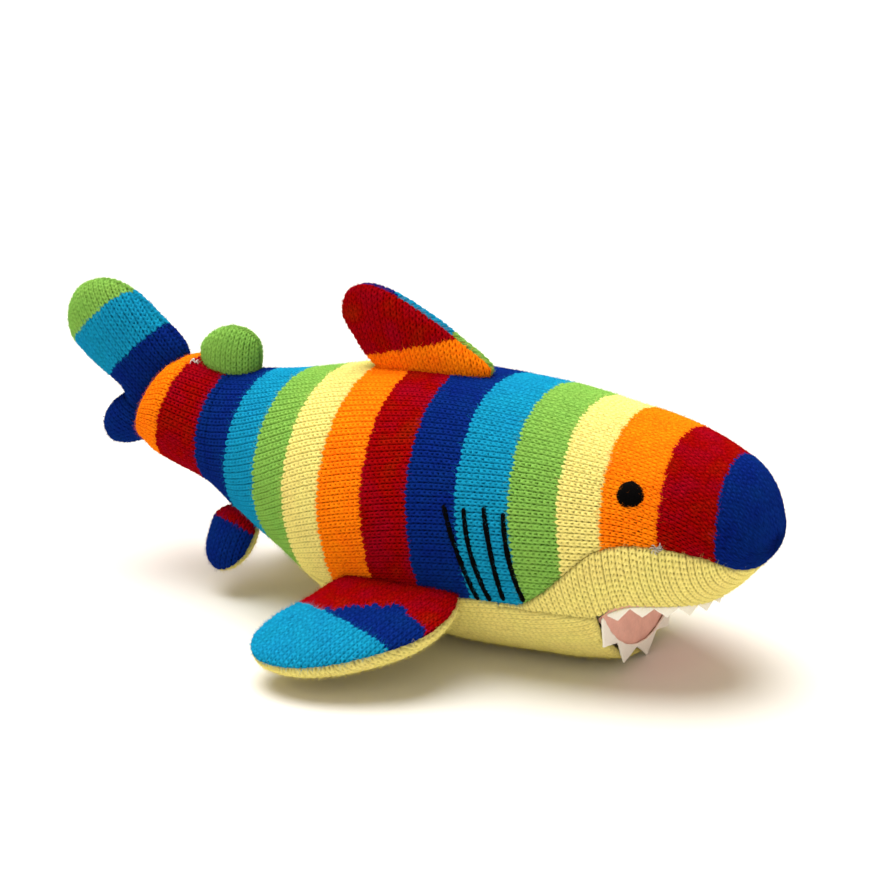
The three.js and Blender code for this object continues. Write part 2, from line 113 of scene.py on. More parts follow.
# Place along and height of the long seam, and of the upper lip. Some of the seam's points were read off
# the fitted body.
SEAM_LINE = np.array([
    [47, 33], [53, 35.5], [60, 33.5], [79, 29.5], [99, 23.4], [125, 22.5], [147, 27], [170, 31],
    [194, 33.5], [214, 34], [224, 40], [235, 51], [247, 62], [258, 65], [270, 64.3], [282, 61.5],
    [289, 58.6], [294, 54.4], [300, 49.5], [312, 45],
])
LIP_ARCH = np.array([
    [200, 32.8], [245.5, 32.8], [252, 36.6], [259, 38.2], [266, 37.6], [273, 36.4], [280, 34], [290, 30],
])
# Low ends of the jaw's rear and front edges in the side view, a little below the ground.
JAW_REAR = np.array([223.0, -4.0])
JAW_FRONT_LOW = np.array([248.0, -4.0])

# Where each stripe of the back ends, from the tail, and its yarn. The ends from 40.2 to 233.6 are the
# same fit's results, the last of them moved by half a millimetre.
STRIPES = [
    (16.5, "orange"), (40.2, "red"), (60.7, "blue"), (81.3, "turquoise"), (102.9, "green"),
    (124.5, "cream"), (147.3, "orange"), (170.1, "red"), (192.1, "blue"), (212.7, "turquoise"),
    (233.6, "green"), (249.8, "cream"), (269.6, "orange"), (288.7, "red"), (400.0, "blue"),
]
YARNS = {
    "orange": (0.90, 0.20, 0.003),
    "red": (0.275, 0.0006, 0.0022),
    "blue": (0.002, 0.018, 0.165),
    "turquoise": (0.006, 0.25, 0.44),
    "green": (0.20, 0.41, 0.072),
    "cream": (0.74, 0.65, 0.205),
}


# ---- curves ----
def cubic_weights(t):
    """Weights of the first value, its slope, the second value and its slope, at t from 0 to 1."""
    return 2 * t**3 - 3 * t**2 + 1, t**3 - 2 * t**2 + t, -2 * t**3 + 3 * t**2, t**3 - t**2


def smooth(table, column, at):
    """Monotone cubic through one column of a table, for any array of places."""
    x = table[:, 0].astype(float)
    y = table[:, column].astype(float)
    step = np.diff(y) / np.diff(x)
    slope = np.zeros(len(x))
    before, after = step[:-1], step[1:]
    total = before + after
    slope[1:-1] = np.where(before * after <= 0, 0, 2 * before * after / np.where(total == 0, 1, total))
    slope[0], slope[-1] = step[0], step[-1]
    at = np.asarray(at, float)
    i = np.clip(np.searchsorted(x, at, side="right") - 1, 0, len(x) - 2)
    run = x[i + 1] - x[i]
    a, b, c, d = cubic_weights(np.clip((at - x[i]) / run, 0, 1))
    return a * y[i] + b * run * slope[i] + c * y[i + 1] + d * run * slope[i + 1]


def fade(low, high, at):
    t = np.clip((np.asarray(at, float) - low) / (high - low), 0, 1)
    return t * t * (3 - 2 * t)


def body_point(at, angle, inset=0.0):
    """A point of the body's surface at one station and one angle round from the left side."""
    at = np.asarray(at, float)
    beyond = np.clip((TAIL_END - at) / CAP, 0, 1) * math.pi / 2
    shrink = np.cos(beyond * 0.85)
    station = np.maximum(at, TAIL_END)
    centre, width, up, down, lean = (smooth(STATIONS, column, station) for column in range(1, 6))
    c, s = np.cos(angle), np.sin(angle)
    reach = np.maximum(0, np.where(s > 0, up, down) * shrink - inset) * s
    side = np.maximum(0, width * shrink - inset) * c
    lean = np.radians(lean)
    x = station - 5.5 * np.sin(beyond) - reach * np.sin(lean)
    z = centre + reach * np.cos(lean)
    return np.stack([x, side, np.maximum(z, inset)], -1)


# ---- fabric coordinates of the body: distance along from the tail and distance round from the top ----
class BodyFabric:
    """Turns distances over the fabric into points of the body's surface."""

    def __init__(self):
        # the places lie closer together over the round of the nose
        to_nose = np.linspace(TAIL_END - CAP, 290, 560)
        self.places = np.concatenate([to_nose, np.linspace(290.2, NOSE_TIP, 260)])
        meridians = [body_point(self.places, angle) for angle in (math.pi / 2, 0.0, -0.5)]
        steps = np.mean([np.linalg.norm(np.diff(line, axis=0), axis=1) for line in meridians], axis=0)
        self.run = np.concatenate([[0], np.cumsum(steps)])
        self.length = self.run[-1]
        self.grid = 1.0
        self.rows = np.arange(0, self.length + self.grid, self.grid)
        self.widest = 195
        angles = np.linspace(math.pi / 2, -math.pi / 2, 361)
        station = np.interp(self.rows, self.run, self.places)
        ring = body_point(station[:, None], angles[None, :])
        arcs = np.linalg.norm(np.diff(ring, axis=1), axis=2)
        arcs = np.concatenate([np.zeros((len(self.rows), 1)), np.cumsum(arcs, axis=1)], axis=1)
        self.half_ring = arcs[:, -1]
        columns = np.arange(0, self.widest + 1, self.grid)
        self.angle = np.stack([np.interp(columns, arcs[i], angles) for i in range(len(self.rows))])

    def station(self, along):
        return np.interp(along, self.run, self.places)

    def along(self, station):
        return np.interp(station, self.places, self.run)

    def half(self, along):
        return np.interp(along, self.rows, self.half_ring)

    def angle_at(self, along, around):
        i = np.clip(np.asarray(along) / self.grid, 0, len(self.rows) - 1.001)
        j = np.clip(np.abs(around) / self.grid, 0, self.widest - 0.001)
        i0, j0 = i.astype(int), j.astype(int)
        ti, tj = i - i0, j - j0
        table = self.angle
        low = table[i0, j0] * (1 - tj) + table[i0, j0 + 1] * tj
        high = table[i0 + 1, j0] * (1 - tj) + table[i0 + 1, j0 + 1] * tj
        return low * (1 - ti) + high * ti

    def top(self, along, around):
        """Point of the surface, with around measured from the top line, positive to the left."""
        point = body_point(self.station(along), self.angle_at(along, around))
        point[..., 1] *= np.where(np.asarray(around) < 0, -1, 1)
        return point

    def bottom(self, along, around):
        """The same with around measured from the line under the belly."""
        from_top = np.maximum(0, self.half(along) - np.abs(around))
        point = body_point(self.station(along), self.angle_at(along, from_top))
        point[..., 1] *= np.where(np.asarray(around) < 0, -1, 1)
        return point


fabric = BodyFabric()


# ---- the knit stitch ----
random_table = np.random.default_rng(7).random((256, 256))


def chance(i, j, layer=0):
    """A fixed number from 0 to 1 for each whole i and j."""
    i = np.asarray(i).astype(int) + 37 * layer
    j = np.asarray(j).astype(int) + 91 * layer
    return random_table[i % 256, j % 256]


def soft_noise(x, y, size, layer=0):
    """Smooth noise from -1 to 1 with features of the given size."""
    x, y = np.asarray(x) / size, np.asarray(y) / size
    i, j = np.floor(x), np.floor(y)
    u, v = x - i, y - j
    u, v = u * u * (3 - 2 * u), v * v * (3 - 2 * v)
    low = chance(i, j, layer) * (1 - u) + chance(i + 1, j, layer) * u
    high = chance(i, j + 1, layer) * (1 - u) + chance(i + 1, j + 1, layer) * u
    return 2 * (low * (1 - v) + high * v) - 1


def knit(across, along):
    """Height of the knit in mm, the row each point belongs to, and how deep it lies from 0 to 1.

    Each stitch is a V of two legs. A leg leaves the point of the V and runs on under the next stitch.
    """
    across = across + 0.28 * soft_noise(across, along, 19, 3)
    along = along + 0.25 * soft_noise(across, along, 14, 4)
    column = np.floor(across / WALE)
    along = along + 0.8 * (chance(column, 0 * column, 6) - 0.5)
    x = across / WALE - column - 0.5
    side = np.where(x < 0, 0, 1)
    x = np.abs(x)
    best = np.full(x.shape, -9.0)
    row = np.zeros(x.shape)
    reach = 1.35
    for back in (0, 1):
        number = np.floor(along / COURSE) - back
        t = along / COURSE - number
        jitter = chance(column * 2 + side, number, 1) - 0.5
        middle = 0.07 + (0.33 + 0.04 * jitter) * np.clip(t / reach, 0, 1)
        away = (x - middle) * WALE * 0.97
        wide = YARN * (1 + 0.14 * (chance(column * 2 + side, number, 2) - 0.5))
        crown = np.sqrt(np.maximum(0, wide**2 - away**2))
        rise = 0.60 * np.sin(math.pi * np.clip(t / reach, 0, 1) ** 0.75) + 0.24 * jitter
        height = np.where((t <= reach) & (crown > 0), crown + rise, -0.35)
        higher = height > best
        best = np.where(higher, height, best)
        row = np.where(higher, number, row)
    best = np.maximum(best, -0.12) - 0.35 * np.clip((x - 0.3) / 0.2, 0, 1) ** 1.5
    # how high each point lies; the yarn's colour takes painted shade where it is low and a painted highlight
    # where it is high
    depth = np.clip((best + 0.35) / 1.35, 0, 1)
    return best - 0.6, row, depth


# ---- mesh building ----
def clip_grid(first, second, inside):
    """Pulls the points just outside a domain onto its edge. inside is above 0 within the domain."""
    within = inside > 0
    best = np.full(inside.shape, -1.0)
    new_first, new_second = first.copy(), second.copy()
    rows, columns = inside.shape
    for di in (-1, 0, 1):
        for dj in (-1, 0, 1):
            if di == 0 and dj == 0:
                continue
            i = np.clip(np.arange(rows) + di, 0, rows - 1)
            j = np.clip(np.arange(columns) + dj, 0, columns - 1)
            value = inside[np.ix_(i, j)]
            better = (~within) & (value > 0) & (value > best)
            share = value / np.maximum(value - inside, 1e-9)
            near_first, near_second = first[np.ix_(i, j)], second[np.ix_(i, j)]
            new_first = np.where(better, near_first + (first - near_first) * share, new_first)
            new_second = np.where(better, near_second + (second - near_second) * share, new_second)
            best = np.where(better, value, best)
    quad = within[:-1, :-1] | within[1:, :-1] | within[:-1, 1:] | within[1:, 1:]
    usable = within | (best > 0)
    quad &= usable[:-1, :-1] & usable[1:, :-1] & usable[:-1, 1:] & usable[1:, 1:]
    return new_first, new_second, quad


def add_mesh(name, points, quads, materials, which=None, values=None):
    """A mesh object from arrays of points in shark millimetres and four-sided faces."""
    used, flat = np.unique(quads.ravel(), return_inverse=True)
    quads = flat.reshape(quads.shape)
    points = (points[used] + SHIFT) * MM
    # the shark lies on the ground, so the stitches that touch it are pressed flat
    points[:, 2] = np.maximum(points[:, 2], GROUND_GAP * MM)
    mesh = bpy.data.meshes.new(name)
    mesh.vertices.add(len(points))
    mesh.vertices.foreach_set("co", points.astype(np.float32).ravel())
    sides = quads.shape[1]
    mesh.loops.add(quads.size)
    mesh.loops.foreach_set("vertex_index", quads.astype(np.int32).ravel())
    mesh.polygons.add(len(quads))
    mesh.polygons.foreach_set("loop_start", (np.arange(len(quads)) * sides).astype(np.int32))
    if which is not None:
        mesh.polygons.foreach_set("material_index", which.astype(np.int32))
    mesh.update(calc_edges=True)
    mesh.polygons.foreach_set("use_smooth", np.full(len(quads), True))
    for key, value in (values or {}).items():
        attribute = mesh.attributes.new(key, "FLOAT", "POINT")
        attribute.data.foreach_set("value", value[used].astype(np.float32))
    for material in materials:
        mesh.materials.append(material)
    made = bpy.data.objects.new(name, mesh)
    bpy.context.scene.collection.objects.link(made)
    return made


def grid_quads(keep):
    rows, columns = keep.shape[0] + 1, keep.shape[1] + 1
    index = np.arange(rows * columns).reshape(rows, columns)
    quads = np.stack([index[:-1, :-1], index[:-1, 1:], index[1:, 1:], index[1:, :-1]], -1)
    return quads[keep]


def unit(v):
    return v / np.maximum(np.linalg.norm(v, axis=-1, keepdims=True), 1e-12)


def knit_panel(name, surface, along, around, domain, yarn_of, turned=False, tuck=1.0, fuzz=1.0, out=None,
               rolled=None, thread=None):
    """One knitted panel.

    surface(along, around) gives points, domain(points, along, around) is above 0 where the panel is,
    and yarn_of(row, along, around, points) gives the yarn number of each point. turned runs the columns
    across. rolled is the domain whose edges roll in at a seam, where not every edge does. thread turns
    fabric coordinates into the knit's own, where its columns don't follow them.
    """
    first, second = np.meshgrid(along, around, indexing="ij")
    base = surface(first, second)
    inside = domain(base, first, second)
    step_first, step_second = along[1] - along[0], around[1] - around[0]
    seam = rolled(base, first, second) if rolled else inside
    rise_first, rise_second = np.gradient(seam, step_first, step_second)
    edge = np.clip(seam / np.maximum(np.hypot(rise_first, rise_second), 0.05), 0, 50)
    first, second, keep = clip_grid(first, second, inside)
    points = surface(first, second)
    small = 0.4
    ahead = surface(first + small, second) - surface(first - small, second)
    round_ = surface(first, second + small) - surface(first, second - small)
    normal = unit(np.cross(ahead, round_))
    if out is not None:
        flip = np.sum(normal * (points - out(points)), -1) < 0
        normal = np.where(flip[..., None], -normal, normal)
    rows, columns = thread(first, second) if thread else (first, second)
    height, row, depth = knit(rows, columns) if turned else knit(columns, rows)
    near = np.clip(1 - edge / SEAM_ROUND, 0, 1)
    roll = SEAM_DEPTH * tuck * (1 - np.sqrt(np.maximum(0, 1 - near**2)))
    skin = points + normal * (height - roll)[..., None]
    yarn = yarn_of(row, first, second, points)
    quads = grid_quads(keep)
    flat_yarn = yarn.ravel()
    which = flat_yarn[quads[:, 0]]
    flat_points = skin.reshape(-1, 3)
    # painted shade: the depth is lowered where the edges roll into a seam, which darkens the yarn's colour
    # there
    tall = depth * (1 - 0.5 * near)
    made = add_mesh(name, flat_points, quads, YARN_MATERIALS, which, {"depth": tall.ravel()})
    chosen = quads[:, 0][tall.ravel()[quads[:, 0]] > 0.45]
    add_fuzz(made, flat_points, normal.reshape(-1, 3), chosen, flat_yarn, fuzz)
    return made


def add_fuzz(piece, points, normals, chosen, yarn, density, length=(1.2, 3.4), seed=5):
    """Fine loose fibres standing off the yarn, as bent strips joined to the piece."""
    rng = np.random.default_rng(seed + len(chosen))
    count = int(len(chosen) * 0.2 * density)
    if count == 0:
        return
    picked = rng.choice(chosen, count, replace=False)
    root, normal = points[picked], normals[picked]
    side = unit(np.cross(normal, rng.normal(size=(count, 3))))
    other = np.cross(normal, side)
    long_ = rng.uniform(*length, size=(count, 1))
    lean = rng.uniform(0.5, 1.25, size=(count, 1))
    curl = rng.normal(scale=0.5, size=(count, 1))
    width = 0.055
    strips = []
    for t in (0.0, 0.4, 0.75, 1.0):
        middle = root + normal * (long_ * (t * np.cos(lean) * (1 - 0.35 * t)) - 0.15)
        middle = middle + side * (long_ * t * np.sin(lean)) + other * (long_ * curl * t * t)
        half = width * (1 - 0.8 * t)
        strips.append(middle + other * half)
        strips.append(middle - other * half)
    cloud = np.stack(strips, 1).reshape(-1, 3)
    start = np.arange(count)[:, None] * 8
    quads = np.concatenate([start + np.array([k, k + 1, k + 3, k + 2]) for k in (0, 2, 4)])
    which = np.concatenate([yarn[picked]] * 3)
    # the fibres take tones from the yarn's own colour up to its painted highlight
    depth = np.repeat(rng.uniform(0.75, 1.0, size=count), 8)
    fibres = add_mesh(piece.name + "_fuzz", cloud, quads, YARN_MATERIALS, which, {"depth": depth})
    join([piece, fibres])


def join(pieces):
    for other in bpy.context.scene.objects:
        other.select_set(False)
    for piece in pieces:
        piece.select_set(True)
    bpy.context.view_layer.objects.active = pieces[0]
    bpy.ops.object.join()
    return pieces[0]


# ---- materials ----
def node(tree, kind, place=(0, 0), **inputs):
    made = tree.nodes.new(kind)
    made.location = place
    for key, value in inputs.items():
        made.inputs[key.replace("_", " ")].default_value = value
    return made


def colour_ramp(tree, place, stops):
    """A colour ramp through its stops, each a position and a colour."""
    made = tree.nodes.new("ShaderNodeValToRGB")
    made.location = place
    elements = made.color_ramp.elements
    for number, (position, colour) in enumerate(stops):
        element = elements[number] if number < 2 else elements.new(position)
        element.position = position
        element.color = (*colour, 1)
    return made


def new_material(name):
    material = bpy.data.materials.new(name)
    material.use_nodes = True
    tree = material.node_tree
    shader = tree.nodes["Principled BSDF"]
    return material, tree, shader


def yarn_material(name, colour):
    """Brushed acrylic yarn: painted shade darkens the colour between the stitches, a painted highlight
    lightens the yarn's crowns, and fine fibres run along the strand.
    """
    material, tree, shader = new_material(name + "_yarn")
    link = tree.links.new
    place = node(tree, "ShaderNodeTexCoord", (-1200, 0))
    fibres = node(tree, "ShaderNodeTexNoise", (-900, 200), Scale=2600.0, Detail=3.0, Roughness=0.7)
    patches = node(tree, "ShaderNodeTexNoise", (-900, -100), Scale=90.0, Detail=2.0)
    depth = node(tree, "ShaderNodeAttribute", (-900, -350))
    depth.attribute_name = "depth"
    link(place.outputs["Object"], fibres.inputs["Vector"])
    link(place.outputs["Object"], patches.inputs["Vector"])
    # painted shade and painted highlight: the depth attribute darkens the colour in the gaps between the
    # stitches, less for pale yarns, and lightens it on the crowns
    pallor = sum(colour) / 3
    deep = [c * (0.2 + 0.4 * pallor) for c in colour]
    pale = [min(1.0, c * 1.2 + 0.001) for c in colour]
    shade = colour_ramp(tree, (-600, 0), ((0.0, deep), (0.74, colour), (1.0, pale)))
    link(depth.outputs["Fac"], shade.inputs["Fac"])
    vary = node(tree, "ShaderNodeHueSaturation", (-300, 0))
    value = tree.nodes.new("ShaderNodeMapRange")
    value.location = (-600, 300)
    value.inputs["To Min"].default_value = 0.72
    value.inputs["To Max"].default_value = 1.28
    link(fibres.outputs["Fac"], value.inputs["Value"])
    link(value.outputs["Result"], vary.inputs["Value"])
    link(shade.outputs["Color"], vary.inputs["Color"])
    hue = tree.nodes.new("ShaderNodeMapRange")
    hue.location = (-600, -300)
    hue.inputs["To Min"].default_value = 0.490
    hue.inputs["To Max"].default_value = 0.510
    link(patches.outputs["Fac"], hue.inputs["Value"])
    link(hue.outputs["Result"], vary.inputs["Hue"])
    link(vary.outputs["Color"], shader.inputs["Base Color"])
    bump = node(tree, "ShaderNodeBump", (-300, -400), Strength=0.5, Distance=0.0002)
    link(fibres.outputs["Fac"], bump.inputs["Height"])
    link(bump.outputs["Normal"], shader.inputs["Normal"])
    shader.inputs["Roughness"].default_value = 0.95
    shader.inputs["Specular IOR Level"].default_value = 0.01
    shader.inputs["Sheen Weight"].default_value = 0.02
    shader.inputs["Sheen Roughness"].default_value = 0.5
    shader.inputs["Sheen Tint"].default_value = (*pale, 1)
    return material


def felt_material(name, colour, mottle=0.25):
    material, tree, shader = new_material(name)
    link = tree.links.new
    place = node(tree, "ShaderNodeTexCoord", (-1200, 0))
    hairs = node(
        tree, "ShaderNodeTexNoise", (-900, 200), Scale=1500.0, Detail=6.0, Roughness=0.75, Distortion=1.2
    )
    clouds = node(tree, "ShaderNodeTexNoise", (-900, -100), Scale=160.0, Detail=3.0)
    link(place.outputs["Object"], hairs.inputs["Vector"])
    link(place.outputs["Object"], clouds.inputs["Vector"])
    deep = [c * (1 - mottle) for c in colour]
    pale = [min(1, c * (1 + mottle * 0.5)) for c in colour]
    shade = colour_ramp(tree, (-600, 0), ((0.3, deep), (0.7, pale)))
    both = tree.nodes.new("ShaderNodeMath")
    both.operation = "MULTIPLY_ADD"
    both.inputs[1].default_value = 0.6
    link(hairs.outputs["Fac"], both.inputs[0])
    half = tree.nodes.new("ShaderNodeMath")
    half.operation = "MULTIPLY"
    half.inputs[1].default_value = 0.4
    link(clouds.outputs["Fac"], half.inputs[0])
    link(half.outputs["Value"], both.inputs[2])
    link(both.outputs["Value"], shade.inputs["Fac"])
    link(shade.outputs["Color"], shader.inputs["Base Color"])
    bump = node(tree, "ShaderNodeBump", (-300, -400), Strength=0.7, Distance=0.0003)
    link(hairs.outputs["Fac"], bump.inputs["Height"])
    link(bump.outputs["Normal"], shader.inputs["Normal"])
    shader.inputs["Roughness"].default_value = 0.95
    shader.inputs["Specular IOR Level"].default_value = 0.1
    shader.inputs["Sheen Weight"].default_value = 0.2
    return material


def thread_material(name, colour, roughness):
    material, tree, shader = new_material(name)
    link = tree.links.new
    place = node(tree, "ShaderNodeTexCoord", (-900, 0))
    noise = node(tree, "ShaderNodeTexNoise", (-700, 0), Scale=1800.0, Detail=3.0)
    link(place.outputs["Object"], noise.inputs["Vector"])
    deep = [c * 0.6 for c in colour]
    pale = [min(1, c * 1.6 + 0.0005) for c in colour]
    shade = colour_ramp(tree, (-400, 0), ((0.35, deep), (0.75, pale)))
    link(noise.outputs["Fac"], shade.inputs["Fac"])
    link(shade.outputs["Color"], shader.inputs["Base Color"])
    bump = node(tree, "ShaderNodeBump", (-300, -300), Strength=0.35, Distance=0.0001)
    link(noise.outputs["Fac"], bump.inputs["Height"])
    link(bump.outputs["Normal"], shader.inputs["Normal"])
    shader.inputs["Roughness"].default_value = roughness
    shader.inputs["Specular IOR Level"].default_value = 0.04
    return material


YARN_NAMES = list(YARNS)
YARN_MATERIALS = [yarn_material(name, YARNS[name]) for name in YARN_NAMES]
YARN_NUMBER = {name: number for number, name in enumerate(YARN_NAMES)}
pink_felt = felt_material("pink_felt", (0.98, 0.52, 0.43))
white_felt = felt_material("white_felt", (0.97, 0.94, 0.86), 0.06)
wadding = felt_material("wadding", (0.80, 0.79, 0.75), 0.1)
black_thread = thread_material("black_thread", (0.0006, 0.0005, 0.0006), 0.9)
grey_thread = thread_material("grey_thread", (0.42, 0.40, 0.36), 0.6)
white_thread = thread_material("white_thread", (0.82, 0.80, 0.76), 0.6)


# ---- the body's panels ----
def seam_height(x):
    return smooth(SEAM_LINE, 1, x)


def arch_height(x):
    return smooth(LIP_ARCH, 1, x)


def above_seam(points):
    """Above 0 on the striped side of the long seam. The belly ends in a point at the seam's rear end."""
    height = points[..., 2] - seam_height(points[..., 0])
    return np.where(points[..., 0] < SEAM_LINE[0, 0], SEAM_LINE[0, 0] - points[..., 0] + 3, height)


def line_side(points, low, high):
    """Distance ahead of the line from low to high, in the side view."""
    run = np.asarray(high, float) - np.asarray(low, float)
    run = run / np.linalg.norm(run)
    return (points[..., 0] - low[0]) * run[1] - (points[..., 2] - low[1]) * run[0]


hinge_point = np.array([HINGE_AT, HINGE_HEIGHT])


def back_domain(points, along, around):
    return np.minimum(above_seam(points), fabric.half(along) - np.abs(around))


def belly_seams(points, along, around):
    x, z = points[..., 0], points[..., 2]
    under_muzzle = np.where(x > MUZZLE_REAR, HINGE_HEIGHT - z, 50.0)
    return np.minimum(-above_seam(points), under_muzzle)


def belly_domain(points, along, around):
    behind_jaw = -line_side(points, JAW_REAR, hinge_point)
    return np.minimum(belly_seams(points, along, around), behind_jaw)


def muzzle_domain(points, along, around):
    x, z = points[..., 0], points[..., 2]
    below = -above_seam(points)
    over_belly = np.where(x < HINGE_AT, z - HINGE_HEIGHT, 50.0)
    over_lip = np.where(x >= HINGE_AT, z - arch_height(x), 50.0)
    return np.minimum(np.minimum(below, over_belly), np.minimum(over_lip, x - MUZZLE_REAR))


def jaw_seams(points, along, around):
    return -line_side(points, JAW_FRONT_LOW, hinge_point)


def jaw_domain(points, along, around):
    ahead = line_side(points, JAW_REAR, hinge_point)
    below = HINGE_HEIGHT - 0.2 - points[..., 2]
    return np.minimum(np.minimum(ahead, jaw_seams(points, along, around)), below)


def body_middle(points):
    middle = points.copy()
    middle[..., 1] = 0
    middle[..., 2] = smooth(STATIONS, 1, np.clip(points[..., 0], TAIL_END, NOSE_TIP))
    return middle


stripe_rows = [round(float(fabric.along(end)) / COURSE) for end, _ in STRIPES]
stripe_yarns = np.array([YARN_NUMBER[name] for _, name in STRIPES])


def stripes(row, along, around, points):
    return stripe_yarns[np.clip(np.searchsorted(stripe_rows, row, side="right"), 0, len(stripe_yarns) - 1)]


def all_cream(row, along, around, points):
    return np.full(row.shape, YARN_NUMBER["cream"])


def steps(low, high, size):
    return np.arange(low, high + size, size)


fine_along, fine_across = COURSE / ALONG, WALE / ACROSS
row_station = fabric.station(fabric.rows)
# towards the head the columns rise more steeply than the rings' lean gives
row_lean = smooth(STATIONS, 5, row_station) + 9 * fade(200, 245, row_station)
lean_run = np.cumsum(np.tan(np.radians(row_lean)))
lean_run = lean_run - np.interp(fabric.along(UNSHIFTED_AT), fabric.rows, lean_run)


def level_columns(along, around):
    """Columns stay square to the leaning rows, so down the flanks they rise towards the nose."""
    rise = np.interp(along, fabric.rows, lean_run) * fade(0, 72, np.abs(around))
    return along, np.sign(around) * (np.abs(around) + rise)


back = knit_panel(
    "back_knit", fabric.top, steps(0, fabric.length - 0.5, fine_along), steps(-190, 190, fine_across),
    back_domain, stripes, out=body_middle, thread=level_columns,
)
belly_start = fabric.along(BELLY_REAR)
belly = knit_panel(
    "belly_knit", fabric.bottom, steps(belly_start, fabric.along(262), fine_along),
    steps(-120, 120, fine_across), belly_domain, all_cream, out=body_middle, rolled=belly_seams,
)
muzzle = knit_panel(
    "muzzle_knit", fabric.bottom, steps(fabric.along(203), fabric.along(301), fine_across),
    steps(-150, 150, fine_along), muzzle_domain, all_cream, turned=True, out=body_middle,
)
# the jaw's rows carry on the belly's, so its mesh starts a whole number of steps ahead of the belly's
jaw_first_row = belly_start + round((fabric.along(218) - belly_start) / fine_along) * fine_along
jaw = knit_panel(
    "jaw_knit", fabric.bottom, steps(jaw_first_row, fabric.along(256), fine_along),
    steps(-120, 120, fine_across), jaw_domain, all_cream, tuck=1.3, out=body_middle, rolled=jaw_seams,
)


def bend_between(piece):
    """Bakes the piece's placement into its mesh and leaves it without a body."""
    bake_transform(piece)


for piece, cad, body, finish in (
    (back, "back_panel", "trunk", "striped_knit"),
    (belly, "belly_panel", "trunk", "cream_knit"),
    (muzzle, "muzzle_panel", "trunk", "cream_knit"),
    (jaw, "jaw_panel", "jaw", "cream_knit"),
):
    if body == "trunk":
        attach(piece, body)
    else:
        bend_between(piece)
    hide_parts(cad)


# ---- fins ----
def fin_axes(origin, out, along):
    u = np.array(out, float) / np.linalg.norm(out)
    v = np.array(along, float)
    v = v - v.dot(u) * u
    v = v / np.linalg.norm(v)
    return np.array(origin, float), u, v, np.cross(u, v)


def closed_curve(corners, count=480):
    """Centripetal curve through the corners, closed."""
    p = np.array(corners, float)
    n = len(p)
    out = []
    for k in range(n):
        p0, p1, p2, p3 = p[k - 1], p[k], p[(k + 1) % n], p[(k + 2) % n]
        d1, d2, d3 = (max(np.linalg.norm(b - a), 1e-6) ** 0.5 for a, b in ((p0, p1), (p1, p2), (p2, p3)))
        m1 = ((p1 - p0) / d1 - (p2 - p0) / (d1 + d2) + (p2 - p1) / d2) * d2
        m2 = ((p2 - p1) / d2 - (p3 - p1) / (d2 + d3) + (p3 - p2) / d3) * d2
        a, b, c, d = cubic_weights(np.linspace(0, 1, count // n, endpoint=False)[:, None])
        out.append(a * p1 + b * m1 + c * p2 + d * m2)
    return np.concatenate(out)


class Lobe:
    """A pillow between two flat pieces of fabric, seen in the fin's own plane."""

    def __init__(self, axes, corners, centre, half, rim=0.0):
        self.origin, self.u, self.v, self.w = axes
        self.centre = np.array(centre, float)
        self.half = half
        curve = closed_curve(corners) - self.centre
        angle = np.arctan2(curve[:, 1], curve[:, 0])
        order = np.argsort(angle)
        self.angles = np.concatenate([angle[order] - 2 * math.pi, angle[order], angle[order] + 2 * math.pi])
        radius = np.tile(np.linalg.norm(curve, axis=1)[order], 3)
        self.radii = radius
        self.rim = rim
        # distance over the bulge from the middle to the rim, as shares of the outline's radius
        self.turns = np.linspace(0, math.pi / 2, 200)
        flat = half / np.median(self.radii)
        speed = np.hypot(np.cos(self.turns), flat * np.sin(self.turns))
        step = self.turns[1] - self.turns[0]
        self.run = np.concatenate([[0], np.cumsum((speed[1:] + speed[:-1]) / 2) * step])

    def plan(self, out, along):
        """Share of the way to the rim, and the outline's radius, in fabric coordinates."""
        du, dv = out - self.centre[0], along - self.centre[1]
        angle = np.arctan2(dv, du)
        radius = np.interp(angle, self.angles, self.radii)
        fabric_radius = radius * self.run[-1]
        share = np.hypot(du, dv) / fabric_radius
        return share, angle, radius, fabric_radius

    def surface(self, side):
        def point(out, along):
            share, angle, radius, _ = self.plan(out, along)
            turn = np.interp(np.clip(share, 0, 1) * self.run[-1], self.run, self.turns)
            level = np.sin(turn)
            lift = self.rim + (side * self.half - self.rim) * np.cos(turn) ** 0.92
            du = self.centre[0] + level * radius * np.cos(angle)
            dv = self.centre[1] + level * radius * np.sin(angle)
            return (
                self.origin
                + du[..., None] * self.u
                + dv[..., None] * self.v
                + lift[..., None] * self.w
            )

        return point

    def domain(self, lowest):
        def inside(points, out, along):
            share, _, _, fabric_radius = self.plan(out, along)
            depth = (points - self.origin) @ self.u
            return np.minimum((1 - share) * fabric_radius, (depth - lowest) * 3)

        return inside

    def middle(self, points):
        return np.broadcast_to(self.origin + self.centre[0] * self.u + self.centre[1] * self.v, points.shape)


def banded(bands):
    """Yarn by row for a fin: bands is a list of (row where it ends, yarn)."""
    ends = [end for end, _ in bands]
    yarns = np.array([YARN_NUMBER[name] for _, name in bands])

    def yarn_of(row, out, along, points):
        return yarns[np.clip(np.searchsorted(ends, row, side="right"), 0, len(yarns) - 1)]

    return yarn_of


def fin_panel(name, lobe, side, yarn_of, lowest=-6.0, fuzz=2.0, slant=0.0):
    """One side of a fin. Its rows run along the fin's root, turned by slant degrees."""
    reach = lobe.radii.max() * 1.25
    out = steps(lobe.centre[0] - reach, lobe.centre[0] + reach, fine_along)
    along = steps(lobe.centre[1] - reach, lobe.centre[1] + reach, fine_across)
    c, s = math.cos(math.radians(slant)), math.sin(math.radians(slant))

    def thread(first, second):
        return first * c + second * s, second * c - first * s

    return knit_panel(name, lobe.surface(side), out, along, lobe.domain(lowest), yarn_of, tuck=0.5, fuzz=fuzz,
                      out=lobe.middle, thread=thread)


def joint_place(name):
    return np.array(JOINT[name]["pos_m"]) / MM - SHIFT


def finish_fin(piece, cads, lobe, out=None):
    """Bakes the fin panel's placement into its mesh and hides the CAD panels it replaces."""
    out = lobe.u if out is None else out
    bend_between(piece)
    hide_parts(*cads)


